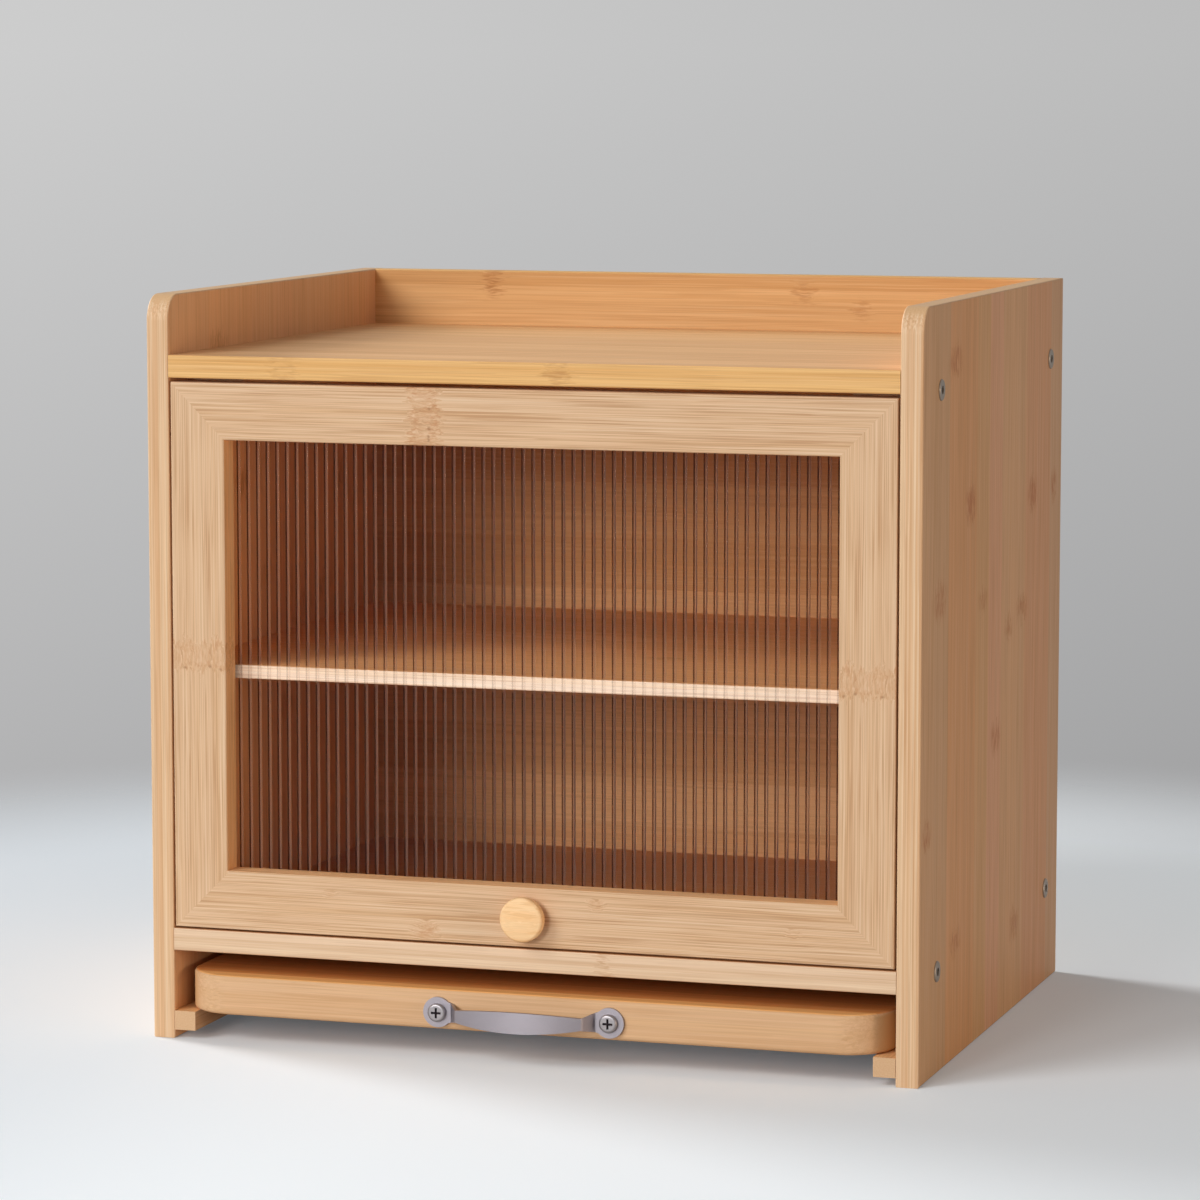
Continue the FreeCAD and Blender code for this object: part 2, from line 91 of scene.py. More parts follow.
def knuckleMask(tree, along, across, knuckles):
    # darkest of several soft ovals, each (along, across, half length, half width, strength) in mm
    mask = None
    for knuckleAlong, knuckleAcross, halfLength, halfWidth, strength in knuckles:
        u = addNode(tree, "ShaderNodeMath", {"operation": "MULTIPLY_ADD"},
                    {0: along, 1: 1 / halfLength, 2: -knuckleAlong / halfLength})
        v = addNode(tree, "ShaderNodeMath", {"operation": "MULTIPLY_ADD"},
                    {0: across, 1: 1 / halfWidth, 2: -knuckleAcross / halfWidth})
        point = addNode(tree, "ShaderNodeCombineXYZ", {}, {0: u, 1: v})
        reach = addNode(tree, "ShaderNodeVectorMath", {"operation": "LENGTH"}, {0: point})
        blob = addNode(tree, "ShaderNodeMapRange", {"interpolation_type": "SMOOTHSTEP"},
                       {0: (reach, "Value"), 1: ovalCore, 2: ovalRim, 3: strength, 4: 0.0})
        if mask is None:
            mask = blob
        else:
            mask = addNode(tree, "ShaderNodeMath", {"operation": "MAXIMUM"}, {0: mask, 1: blob})
    return mask


# Bamboo, sanded and given a clear satin lacquer. To the eye: long straight fibre bundles in darker
# runs over a paler ground, hair-fine lines between them, and a low soft sheen. The bundles are
# about 0.5 mm wide and drawn a little coarser, so that they show. Lengths and widths are in mm.
lacquer = {
    "roughness": 0.52, "polish": 0.05, "wear": 0.08, "specularLevel": 0.25, "ior": 1.5,
    "polishedAt": 0.3, "wornAt": 0.7,
    "bumpStrength": 0.25, "bumpHeight": 0.00006,  # in metres
}
fibres = {
    "darkFrom": 0.56, "darkFull": 0.6, "paleFrom": 0.42, "paleFull": 0.36, "paleShare": 0.6,
    "hairLengthShare": 0.45, "hairWidthShare": 0.6, "hairFrom": 0.58, "hairFull": 0.62, "hairShare": 0.8,
    "stretchLength": 55, "stretchWidth": 6, "stretchFrom": 0.36, "stretchFull": 0.62,
    "stretchQuiet": 0.35,
    "fineLength": 60, "fineWidth": 0.32, "fineLow": 0.35, "fineHigh": 0.65,
    "fineLight": 1.035, "fineDark": 0.96,
}


def grainOver(tree, grainPoint, ground, look):
    length, width, strength = look["fibreLength"], look["fibreWidth"], look["fibreStrength"]
    bundle = drawnOut(tree, grainPoint, length, width, 1.0)
    stretch = drawnOut(tree, grainPoint, fibres["stretchLength"], fibres["stretchWidth"], 1.0)
    hair = drawnOut(tree, grainPoint, length * fibres["hairLengthShare"],
                    width * fibres["hairWidthShare"], 0.0)
    fine = drawnOut(tree, grainPoint, fibres["fineLength"], fibres["fineWidth"], 1.0)
    dark = addNode(tree, "ShaderNodeMapRange", {}, {
        0: bundle, 1: fibres["darkFrom"], 2: fibres["darkFull"], 3: 0.0, 4: strength})
    hairDark = addNode(tree, "ShaderNodeMapRange", {}, {
        0: hair, 1: fibres["hairFrom"], 2: fibres["hairFull"], 3: 0.0, 4: strength * fibres["hairShare"]})
    darker = addNode(tree, "ShaderNodeMath", {"operation": "MAXIMUM"}, {0: dark, 1: hairDark})
    # quieter stretches between livelier ones
    share = addNode(tree, "ShaderNodeMapRange", {}, {
        0: stretch, 1: fibres["stretchFrom"], 2: fibres["stretchFull"],
        3: fibres["stretchQuiet"], 4: 1.0})
    amount = addNode(tree, "ShaderNodeMath", {"operation": "MULTIPLY"}, {0: darker, 1: share})
    pale = addNode(tree, "ShaderNodeMapRange", {}, {
        0: bundle, 1: fibres["paleFull"], 2: fibres["paleFrom"],
        3: strength * fibres["paleShare"], 4: 0.0})
    fibred = addNode(tree, "ShaderNodeMix", {"data_type": "RGBA"},
                     {0: amount, 6: ground, 7: linearColor(look["fibreTint"])})
    glinting = addNode(tree, "ShaderNodeMix", {"data_type": "RGBA"},
                       {0: pale, 6: (fibred, 2), 7: linearColor(look["paleTint"])})
    shade = addNode(tree, "ShaderNodeMapRange", {}, {
        0: fine, 1: fibres["fineLow"], 2: fibres["fineHigh"],
        3: fibres["fineLight"], 4: fibres["fineDark"]})
    color = addNode(tree, "ShaderNodeVectorMath", {"operation": "SCALE"},
                    {0: (glinting, 2), "Scale": shade})
    return color, bundle


def lacqueredWood(tree, output, color, bundle):
    roughness = addNode(tree, "ShaderNodeMapRange", {}, {
        0: bundle, 1: lacquer["polishedAt"], 2: lacquer["wornAt"],
        3: lacquer["roughness"] - lacquer["polish"], 4: lacquer["roughness"] + lacquer["wear"]})
    bump = addNode(tree, "ShaderNodeBump", {}, {
        "Strength": lacquer["bumpStrength"], "Distance": lacquer["bumpHeight"], "Height": bundle})
    shader = addNode(tree, "ShaderNodeBsdfPrincipled", {}, {
        "Base Color": color, "Roughness": roughness, "Normal": bump, "IOR": lacquer["ior"],
        "Specular IOR Level": lacquer["specularLevel"]})
    tree.links.new(shader.outputs[0], output.inputs[0])


# Boards laminated from bamboo strips: each strip and ply has its own tone, with a darker knuckle
# here and there, and end grain full of fine dots
axisVector = {"X": (1, 0, 0), "Y": (0, 1, 0), "Z": (0, 0, 1)}
laminate = {
    "bendLength": 260, "bendWidth": 60, "raggedLength": 12, "raggedWidth": 1.5, "raggedReach": 22.0,
    "swerveLength": 9, "swerveWidth": 5, "swerveReach": 7.0, "cloudLength": 320, "cloudWidth": 7,
    "edgeCloudLength": 200, "edgeCloudWidth": 0.8, "edgeCloudShare": 0.35,
    "bandDark": 0.92, "bandLight": 1.08,
    "streakLength": 10, "streakWidth": 1.3, "streakFrom": 0.43, "streakFull": 0.57,
    "streakQuiet": 0.2, "streakStrong": 1.7,
    "innerFrom": 0.5, "innerFull": 0.6, "broadFrom": 0.7, "broadFull": 0.95,
    "endFrom": 0.6, "endFull": 0.9, "dotSpacing": 0.7, "dotCore": 0.15, "dotRim": 0.5,
}


def laminatedBamboo(name, look):
    material, tree, output = newMaterial(name)
    place, normal = placeInMm(tree)
    along, across, through = [(place, axis) for axis in look["axes"]]

    # a slow bend keeps the strips from being ruler straight, and fibres swerve at a knuckle
    straight = addNode(tree, "ShaderNodeCombineXYZ", {}, {0: along, 1: across, 2: through})
    bend = drawnOut(tree, straight, laminate["bendLength"], laminate["bendWidth"], 1.0)
    ragged = drawnOut(tree, straight, laminate["raggedLength"], laminate["raggedWidth"], 2.0)
    raggedAlong = addNode(tree, "ShaderNodeMath", {"operation": "MULTIPLY_ADD"},
                          {0: ragged, 1: laminate["raggedReach"], 2: along})
    raggedCentred = addNode(tree, "ShaderNodeMath", {"operation": "SUBTRACT"},
                            {0: raggedAlong, 1: laminate["raggedReach"] / 2})
    knuckles = knuckleMask(tree, raggedCentred, across, look["knuckles"])
    swerve = drawnOut(tree, straight, laminate["swerveLength"], laminate["swerveWidth"], 1.0)
    swerveSize = addNode(tree, "ShaderNodeMath", {"operation": "MULTIPLY"}, {0: swerve, 1: knuckles})
    bentAcross = addNode(tree, "ShaderNodeMath", {"operation": "MULTIPLY_ADD"},
                         {0: bend, 1: look["bend"], 2: across})
    swervedAcross = addNode(tree, "ShaderNodeMath", {"operation": "MULTIPLY_ADD"},
                            {0: swerveSize, 1: laminate["swerveReach"], 2: bentAcross})
    bentThrough = addNode(tree, "ShaderNodeMath", {"operation": "MULTIPLY_ADD"},
                          {0: bend, 1: look["bend"] / 3, 2: through})
    grainPoint = addNode(tree, "ShaderNodeCombineXYZ", {}, {0: along, 1: swervedAcross, 2: bentThrough})

    # strips, the narrower bands within them, and plies
    stripNumber = addNode(tree, "ShaderNodeMath", {"operation": "MULTIPLY_ADD"},
                          {0: bentAcross, 1: 1 / look["stripWidth"], 2: look["stripStart"]})
    bandNumber = addNode(tree, "ShaderNodeMath", {"operation": "MULTIPLY"},
                         {0: stripNumber, 1: look["bandsPerStrip"]})
    plyNumber = addNode(tree, "ShaderNodeMath", {"operation": "MULTIPLY_ADD"},
                        {0: bentThrough, 1: 1 / look["plyThickness"], 2: look["seed"]})
    stripCell = addNode(tree, "ShaderNodeMath", {"operation": "FLOOR"}, {0: stripNumber})
    bandCell = addNode(tree, "ShaderNodeMath", {"operation": "FLOOR"}, {0: bandNumber})
    plyCell = addNode(tree, "ShaderNodeMath", {"operation": "FLOOR"}, {0: plyNumber})
    stripPly = addNode(tree, "ShaderNodeCombineXYZ", {}, {0: stripCell, 1: plyCell})
    bandPly = addNode(tree, "ShaderNodeCombineXYZ", {}, {0: bandCell, 1: plyCell})
    stripChance = addNode(tree, "ShaderNodeTexWhiteNoise", {"noise_dimensions": "2D"},
                          {"Vector": stripPly})
    bandChance = addNode(tree, "ShaderNodeTexWhiteNoise", {"noise_dimensions": "2D"},
                         {"Vector": bandPly})
    plyChance = addNode(tree, "ShaderNodeTexWhiteNoise", {"noise_dimensions": "1D"}, {"W": plyCell})
    cloud = drawnOut(tree, grainPoint, laminate["cloudLength"], laminate["cloudWidth"], 2.0)
    ownTone = addNode(tree, "ShaderNodeMix", {"data_type": "FLOAT"},
                      {0: look["bandShare"], 2: (stripChance, "Value"), 3: (bandChance, "Value")})
    tone = addNode(tree, "ShaderNodeMix", {"data_type": "FLOAT"},
                   {0: look["cloudShare"], 2: (ownTone, 0), 3: cloud})
    edgeCloud = drawnOut(tree, grainPoint, laminate["edgeCloudLength"], laminate["edgeCloudWidth"], 1.0)
    edgeTone = addNode(tree, "ShaderNodeMix", {"data_type": "FLOAT"},
                       {0: laminate["edgeCloudShare"], 2: (plyChance, "Value"), 3: edgeCloud})
    if "laidStrips" in look:
        # strips as they lie from front to back, in steps; the bands only lighten or darken them
        steps = look["laidStrips"]
        first, last = steps[0][0], steps[-1][0]
        laidShare = addNode(tree, "ShaderNodeMapRange", {}, {0: bentAcross, 1: first, 2: last})
        stops = [((start - first) / (last - first), linearColor(tint)) for start, tint in steps]
        laid = addNode(tree, "ShaderNodeValToRGB", {"stops": stops}, {0: laidShare})
        laid.color_ramp.interpolation = "CONSTANT"
        bandShade = addNode(tree, "ShaderNodeMapRange", {}, {
            0: (tone, 0), 3: laminate["bandDark"], 4: laminate["bandLight"]})
        faceColor = addNode(tree, "ShaderNodeVectorMath", {"operation": "SCALE"},
                            {0: laid, "Scale": bandShade})
    else:
        faceColor = addNode(tree, "ShaderNodeValToRGB", {"stops": evenStops(look["faceTints"])},
                            {0: (tone, 0)})
    edgeColor = addNode(tree, "ShaderNodeValToRGB", {"stops": evenStops(look["edgeTints"])},
                        {0: (edgeTone, 0)})

    # where a surface faces along the thickness it is the broad face, otherwise an edge or an end
    broad = addNode(tree, "ShaderNodeVectorMath", {"operation": "DOT_PRODUCT"},
                    {0: normal, 1: axisVector[look["axes"][2]]})
    broadSize = addNode(tree, "ShaderNodeMath", {"operation": "ABSOLUTE"}, {0: (broad, "Value")})
    if "innerBounceTint" in look:
        # the face on the plus side, which faces into the box, is painted warmer and paler: painted warm
        # bounce light
        inside = addNode(tree, "ShaderNodeMapRange", {}, {
            0: (broad, "Value"), 1: laminate["innerFrom"], 2: laminate["innerFull"],
            3: 0.0, 4: look["innerBounceShare"]})
        warmed = addNode(tree, "ShaderNodeMix", {"data_type": "RGBA"},
                         {0: inside, 6: faceColor, 7: linearColor(look["innerBounceTint"])})
        faceColor = (warmed, 2)
    end = addNode(tree, "ShaderNodeVectorMath", {"operation": "DOT_PRODUCT"},
                  {0: normal, 1: axisVector[look["axes"][0]]})
    endSize = addNode(tree, "ShaderNodeMath", {"operation": "ABSOLUTE"}, {0: (end, "Value")})
    broadShare = addNode(tree, "ShaderNodeMapRange", {"interpolation_type": "SMOOTHSTEP"},
                         {0: broadSize, 1: laminate["broadFrom"], 2: laminate["broadFull"]})
    endShare = addNode(tree, "ShaderNodeMapRange", {"interpolation_type": "SMOOTHSTEP"},
                       {0: endSize, 1: laminate["endFrom"], 2: laminate["endFull"]})
    ground = addNode(tree, "ShaderNodeMix", {"data_type": "RGBA"},
                     {0: broadShare, 6: edgeColor, 7: faceColor})
    grained, bundle = grainOver(tree, grainPoint, (ground, 2), look)
    streaks = drawnOut(tree, grainPoint, laminate["streakLength"], laminate["streakWidth"], 2.0)
    streakShare = addNode(tree, "ShaderNodeMapRange", {}, {
        0: streaks, 1: laminate["streakFrom"], 2: laminate["streakFull"],
        3: laminate["streakQuiet"], 4: laminate["streakStrong"]})
    knuckleAmount = addNode(tree, "ShaderNodeMath", {"operation": "MULTIPLY"},
                            {0: knuckles, 1: streakShare})
    color = addNode(tree, "ShaderNodeMix", {"data_type": "RGBA"},
                    {0: knuckleAmount, 6: grained, 7: linearColor(look["knuckleTint"])})

    # fibre bundles show as dots on the end grain
    dotPoint = addNode(tree, "ShaderNodeCombineXYZ", {}, {0: across, 1: through})
    dots = addNode(tree, "ShaderNodeTexVoronoi", {"voronoi_dimensions": "2D"},
                   {"Vector": dotPoint, "Scale": 1 / laminate["dotSpacing"]})
    dotAmount = addNode(tree, "ShaderNodeMapRange", {}, {
        0: (dots, "Distance"), 1: laminate["dotCore"], 2: laminate["dotRim"],
        3: look["endDots"], 4: 0.0})
    endColor = addNode(tree, "ShaderNodeMix", {"data_type": "RGBA"},
                       {0: dotAmount, 6: linearColor(look["endTint"]), 7: linearColor(look["fibreTint"])})
    surfaceColor = addNode(tree, "ShaderNodeMix", {"data_type": "RGBA"},
                           {0: endShare, 6: (color, 2), 7: (endColor, 2)})
    lacqueredWood(tree, output, (surfaceColor, 2), bundle)
    return material


# The right panel's strips and knuckles are redder and more saturated than the left panel's: partly the
# strips' own tone, partly painted warm shade for the side that stands in shade.
shadeSideLook = {
    "axes": "ZYX",  # along the strips, across them, and through the board
    "stripWidth": 29.5, "stripStart": 0.02, "bandsPerStrip": 5, "plyThickness": 1.0, "seed": 4.3,
    "bend": 1.2, "bandShare": 0.5, "cloudShare": 0.35,
    "fibreLength": 120, "fibreWidth": 0.8, "fibreStrength": 0.36,
    # each laid strip: where it starts across the board, and its colour
    "laidStrips": [(-150, "#DCAF82"), (-91, "#E3AA75"), (-32, "#DFAE7A"), (-4, "#E5AF87"),
                   (25, "#E0B183"), (80, "#DEA87D"), (137, "#D6AC85"), (170, "#D6AC85")],
    "edgeTints": ["#CFA275", "#E7C49D", "#DAAD81", "#E9CAA5", "#D5A77C", "#E2B98F"],
    "endTint": "#D9B184", "endDots": 0.22, "fibreTint": "#B9804E", "paleTint": "#F0CAA2",
    "knuckleTint": "#B8682B",
    # each knuckle: place along and across, half length, half width, strength
    "knuckles": [(348, -79, 10, 17, 0.42), (275, -46, 11, 15, 0.52), (268, 95, 11, 15, 0.48),
                 (268, 146, 10, 9, 0.48), (233, -108, 10, 17, 0.42), (224, -17, 8, 13, 0.34),
                 (210, 72, 9, 16, 0.46), (203, 42, 8, 12, 0.4), (150, 14, 11, 14, 0.42),
                 (122, -132, 8, 12, 0.42), (60, -72, 8, 14, 0.4), (45, 60, 10, 14, 0.4)],
}
leftSideLook = dict(shadeSideLook, seed=7.9, knuckleTint="#C08A58", fibreTint="#C08D5E", paleTint="#EFCBA2",
                    # the inner face is painted warmer: painted warm bounce light
                    innerBounceTint="#F7BC8A", innerBounceShare=0.55,
                    laidStrips=[(-150, "#DBB389"), (-91, "#DFB182"), (-32, "#DCB187"), (-4, "#E0B48C"),
                                (25, "#DDB48A"), (80, "#DBAF83"), (137, "#D6AF89"), (170, "#D6AF89")])
boardLook = {
    "axes": "XYZ",
    "stripWidth": 24.0, "stripStart": 0.3, "bandsPerStrip": 4, "plyThickness": 2.9, "seed": 9.7,
    "bend": 2.5, "bandShare": 0.35, "cloudShare": 0.4,
    "fibreLength": 110, "fibreWidth": 1.1, "fibreStrength": 0.32,
    "faceTints": ["#E9B27A", "#F1BB84", "#EBB57C", "#F8C48C", "#E6AE76"],
    "edgeTints": ["#D9A160", "#EDBE7C", "#E1AC68", "#F2C98C"],
    "endTint": "#D2A877", "endDots": 0.22, "fibreTint": "#B98149", "paleTint": "#EEC692",
    "knuckleTint": "#B0763F",
    "knuckles": [(-127, -144.3, 9, 9, 0.16), (17, -144.3, 8, 9, 0.2)],
}
# Its strips are paler low down and darker higher up: painted light in the lower compartment and painted
# shade under the top board.
backLook = dict(boardLook, axes="XZY", stripWidth=26.0, seed=3.2,
                laidStrips=[(45, "#E6B27C"), (71, "#EFBF8A"), (98, "#E2AE78"), (124, "#ECBB86"),
                            (151, "#DEAA73"), (178, "#E4B27C"), (204, "#D19B63"), (231, "#DBA770"),
                            (262, "#CE9760"), (290, "#DAA66E"), (318, "#CC985F"), (345, "#D5A36B"),
                            (371, "#CB975E")],
                knuckles=[(-119, 371, 8, 11, 0.5), (60, 368, 7, 9, 0.3), (92, 359, 6, 8, 0.25)])
# The shelf's front edge is painted near white: a painted highlight where the lamps catch it.
shelfLook = dict(boardLook, seed=6.1, edgeTints=["#FCE0C4", "#FFEEDC", "#FDE6D0", "#FFF2E4"],
                 paleTint="#FCE8CC", knuckles=[(40, -40, 12, 9, 0.3)])
# The bottom board's faces are darker and redder than the other boards': painted shade.
bottomLook = dict(boardLook, seed=2.6, faceTints=["#C08450", "#C98C58", "#C38651", "#CE945F"],
                  edgeTints=["#DDBB97", "#E9CAAA", "#E2C19D", "#EED4B6"],
                  paleTint="#EED4B5", fibreTint="#C79A71", knuckles=[(40, -144.3, 4, 9, 0.2)])
railLook = dict(boardLook, axes="YXZ", seed=1.4, edgeTints=["#CFA47C", "#DAB48D", "#D4AC84", "#DDBA96"],
                endTint="#D8B28A", knuckles=[(0, 183, 8, 8, 0.3)])
# On top, the front strip is painted pale, a painted pool of light where the lamps reach in front of the
# box, and the strips behind it a deeper orange, partly painted warm shade.
cuttingLook = dict(boardLook, stripWidth=17.0, plyThickness=5.0, seed=5.5,
                   fibreLength=150, fibreWidth=1.5, fibreStrength=0.24,
                   laidStrips=[(-150, "#FFBE74"), (-138, "#DD9350"), (-117, "#D08546"), (-90, "#DB975A"),
                               (-62, "#D48C4E"), (-30, "#DA9558"), (2, "#D0884A"), (34, "#DE9B5F"),
                               (62, "#D58F52"), (96, "#DA9558"), (128, "#D18A4C"), (155, "#DD985C")],
                   edgeTints=["#D3A97D", "#DEB58C", "#D8AD82", "#E4BF97"],
                   endDots=0.08, knuckles=[(-60, -60, 14, 9, 0.4), (120, -20, 12, 10, 0.35)])

# Each door bar is one strip, mitred at the corners, so its fibres run round the frame like a
# picture frame's, and each knuckle crosses the whole bar: a mottled zone with a row of dark
# specks along one border.
doorLook = {
    "halfWidth": 187.5, "bottom": 57.8, "top": 334.0,
    "fibreLength": 110, "fibreWidth": 0.62, "fibreStrength": 0.72,
    "tints": ["#D8AF84", "#DDB790", "#E0BC97", "#D9B289"],
    # the opening's edges get a painted warm bounce light
    "openingBounceTint": "#FDC58A", "fibreTint": "#BA8B60", "paleTint": "#EBCEAD", "knuckleTint": "#C58C5E",
    "speckTint": "#A3734D", "swirlRagged": 8.0,
    "raggedLength": 7, "raggedWidth": 1.2, "waverLength": 5, "waverWidth": 2.5, "waverReach": 9.0,
    "bandLength": 240, "bandWidth": 5, "mottleLength": 3.0, "mottleWidth": 0.8,
    "mottleFrom": 0.4, "mottleFull": 0.6, "mottleQuiet": 0.15, "mottleStrong": 1.5,
    "speckSpacing": 4.2, "speckCore": 0.12, "speckRim": 0.3, "speckShare": 0.7,
    "barWidth": 20.0,  # further in than this, the surface belongs to the opening
    "topKnuckle": {"place": -52.7, "halfLength": 8.5, "speckPlace": -50.0, "strength": 0.52},
    "stileKnuckle": {"place": 196.5, "halfLength": 7.5, "speckPlace": 190.5, "strength": 0.42},
    "swirls": [(-53, 63.5, 9, 6, 0.4), (36, 80.8, 6, 4, 0.3), (-103, 79, 5, 3, 0.15),
               (137, 72, 5, 4, 0.15)],
}
# Across a knuckle: how far its border and its speck row wander in mm, where it fades out, and how
# much weaker its middle is
knuckleShape = {
    "ragged": 18.0, "fadeFrom": 0.75, "fadeTo": 1.1, "middle": 0.3, "border": 0.8, "middleShare": 0.55,
    "rowRagged": 3.0, "rowFull": 0.4, "rowGone": 1.6,
}


def knuckleBand(tree, along, ragged, look):
    # one knuckle right across a bar: how strong the zone is, and how strong the speck row is
    shifted = addNode(tree, "ShaderNodeMath", {"operation": "MULTIPLY_ADD"},
                      {0: ragged, 1: knuckleShape["ragged"],
                       2: -look["place"] - knuckleShape["ragged"] / 2})
    offset = addNode(tree, "ShaderNodeMath", {"operation": "ADD"}, {0: shifted, 1: along})
    distance = addNode(tree, "ShaderNodeMath", {"operation": "ABSOLUTE"}, {0: offset})
    half = look["halfLength"]
    zone = addNode(tree, "ShaderNodeMapRange", {"interpolation_type": "SMOOTHSTEP"},
                   {0: distance, 1: half * knuckleShape["fadeFrom"], 2: half * knuckleShape["fadeTo"],
                    3: look["strength"], 4: 0.0})
    # the zone's two borders are its darkest part
    border = addNode(tree, "ShaderNodeMapRange", {},
                     {0: distance, 1: half * knuckleShape["middle"], 2: half * knuckleShape["border"],
                      3: knuckleShape["middleShare"], 4: 1.0})
    bordered = addNode(tree, "ShaderNodeMath", {"operation": "MULTIPLY"}, {0: zone, 1: border})
    speckOffset = addNode(tree, "ShaderNodeMath", {"operation": "MULTIPLY_ADD"},
                          {0: ragged, 1: knuckleShape["rowRagged"],
                           2: -look["speckPlace"] - knuckleShape["rowRagged"] / 2})
    speckSum = addNode(tree, "ShaderNodeMath", {"operation": "ADD"}, {0: speckOffset, 1: along})
    speckDistance = addNode(tree, "ShaderNodeMath", {"operation": "ABSOLUTE"}, {0: speckSum})
    row = addNode(tree, "ShaderNodeMapRange", {"interpolation_type": "SMOOTHSTEP"},
                  {0: speckDistance, 1: knuckleShape["rowFull"], 2: knuckleShape["rowGone"],
                   3: 1.0, 4: 0.0})
    return bordered, row


def mitredBamboo(name, look):
    material, tree, output = newMaterial(name)
    place, normal = placeInMm(tree)
    x, y, z = (place, "X"), (place, "Y"), (place, "Z")

    # distance from the nearest outer edge: the fibres follow it
    sideways = addNode(tree, "ShaderNodeMath", {"operation": "ABSOLUTE"}, {0: x})
    fromSide = addNode(tree, "ShaderNodeMath", {"operation": "SUBTRACT"},
                       {0: look["halfWidth"], 1: sideways})
    middle = (look["top"] + look["bottom"]) / 2
    fromMiddle = addNode(tree, "ShaderNodeMath", {"operation": "SUBTRACT"}, {0: z, 1: middle})
    upOrDown = addNode(tree, "ShaderNodeMath", {"operation": "ABSOLUTE"}, {0: fromMiddle})
    fromEnd = addNode(tree, "ShaderNodeMath", {"operation": "SUBTRACT"},
                      {0: (look["top"] - look["bottom"]) / 2, 1: upOrDown})
    inward = addNode(tree, "ShaderNodeMath", {"operation": "MINIMUM"}, {0: fromSide, 1: fromEnd})
    onRail = addNode(tree, "ShaderNodeMath", {"operation": "LESS_THAN"}, {0: fromEnd, 1: fromSide})
    onStile = addNode(tree, "ShaderNodeMath", {"operation": "SUBTRACT"}, {0: 1.0, 1: onRail})
    onTop = addNode(tree, "ShaderNodeMath", {"operation": "GREATER_THAN"}, {0: fromMiddle, 1: 0.0})
    onTopRail = addNode(tree, "ShaderNodeMath", {"operation": "MULTIPLY"}, {0: onRail, 1: onTop})
    along = addNode(tree, "ShaderNodeMix", {"data_type": "FLOAT"}, {0: onRail, 2: z, 3: x})

    straight = addNode(tree, "ShaderNodeCombineXYZ", {}, {0: (along, 0), 1: inward, 2: y})
    ragged = drawnOut(tree, straight, look["raggedLength"], look["raggedWidth"], 2.0)
    topZone, topRow = knuckleBand(tree, x, ragged, look["topKnuckle"])
    stileZone, stileRow = knuckleBand(tree, z, ragged, look["stileKnuckle"])
    zone = addNode(tree, "ShaderNodeMath", {"operation": "MULTIPLY"}, {0: topZone, 1: onTopRail})
    bothZones = addNode(tree, "ShaderNodeMath", {"operation": "MULTIPLY_ADD"},
                        {0: stileZone, 1: onStile, 2: zone})
    row = addNode(tree, "ShaderNodeMath", {"operation": "MULTIPLY"}, {0: topRow, 1: onTopRail})
    bothRows = addNode(tree, "ShaderNodeMath", {"operation": "MULTIPLY_ADD"},
                       {0: stileRow, 1: onStile, 2: row})
    raggedX = addNode(tree, "ShaderNodeMath", {"operation": "MULTIPLY_ADD"},
                      {0: ragged, 1: look["swirlRagged"], 2: x})
    raggedBack = addNode(tree, "ShaderNodeMath", {"operation": "SUBTRACT"},
                         {0: raggedX, 1: look["swirlRagged"] / 2})
    swirls = knuckleMask(tree, raggedBack, z, look["swirls"])
    swirlsOnRail = addNode(tree, "ShaderNodeMath", {"operation": "MULTIPLY"}, {0: swirls, 1: onRail})
    knuckles = addNode(tree, "ShaderNodeMath", {"operation": "MAXIMUM"}, {0: bothZones, 1: swirlsOnRail})

    # the fibres waver inside a knuckle
    waver = drawnOut(tree, straight, look["waverLength"], look["waverWidth"], 1.0)
    waverSize = addNode(tree, "ShaderNodeMath", {"operation": "MULTIPLY"}, {0: waver, 1: knuckles})
    wavering = addNode(tree, "ShaderNodeMath", {"operation": "MULTIPLY_ADD"},
                       {0: waverSize, 1: look["waverReach"], 2: inward})
    grainPoint = addNode(tree, "ShaderNodeCombineXYZ", {}, {0: (along, 0), 1: wavering, 2: y})
    tone = drawnOut(tree, grainPoint, look["bandLength"], look["bandWidth"], 1.0)
    ground = addNode(tree, "ShaderNodeValToRGB", {"stops": evenStops(look["tints"])}, {0: tone})
    # the opening's own edges show the strip's side, painted a paler, redder brown: painted warm bounce
    # light
    facing = addNode(tree, "ShaderNodeVectorMath", {"operation": "DOT_PRODUCT"},
                     {0: normal, 1: axisVector["Y"]})
    facingSize = addNode(tree, "ShaderNodeMath", {"operation": "ABSOLUTE"}, {0: (facing, "Value")})
    sideOn = addNode(tree, "ShaderNodeMath", {"operation": "LESS_THAN"}, {0: facingSize, 1: 0.5})
    deepIn = addNode(tree, "ShaderNodeMath", {"operation": "GREATER_THAN"},
                     {0: inward, 1: look["barWidth"]})
    onOpening = addNode(tree, "ShaderNodeMath", {"operation": "MULTIPLY"}, {0: sideOn, 1: deepIn})
    barGround = addNode(tree, "ShaderNodeMix", {"data_type": "RGBA"},
                        {0: onOpening, 6: ground, 7: linearColor(look["openingBounceTint"])})
    grained, bundle = grainOver(tree, grainPoint, (barGround, 2), look)

    mottle = drawnOut(tree, straight, look["mottleLength"], look["mottleWidth"], 2.0)
    mottleShare = addNode(tree, "ShaderNodeMapRange", {}, {
        0: mottle, 1: look["mottleFrom"], 2: look["mottleFull"],
        3: look["mottleQuiet"], 4: look["mottleStrong"]})
    knuckleAmount = addNode(tree, "ShaderNodeMath", {"operation": "MULTIPLY"},
                            {0: knuckles, 1: mottleShare})
    knuckled = addNode(tree, "ShaderNodeMix", {"data_type": "RGBA"},
                       {0: knuckleAmount, 6: grained, 7: linearColor(look["knuckleTint"])})
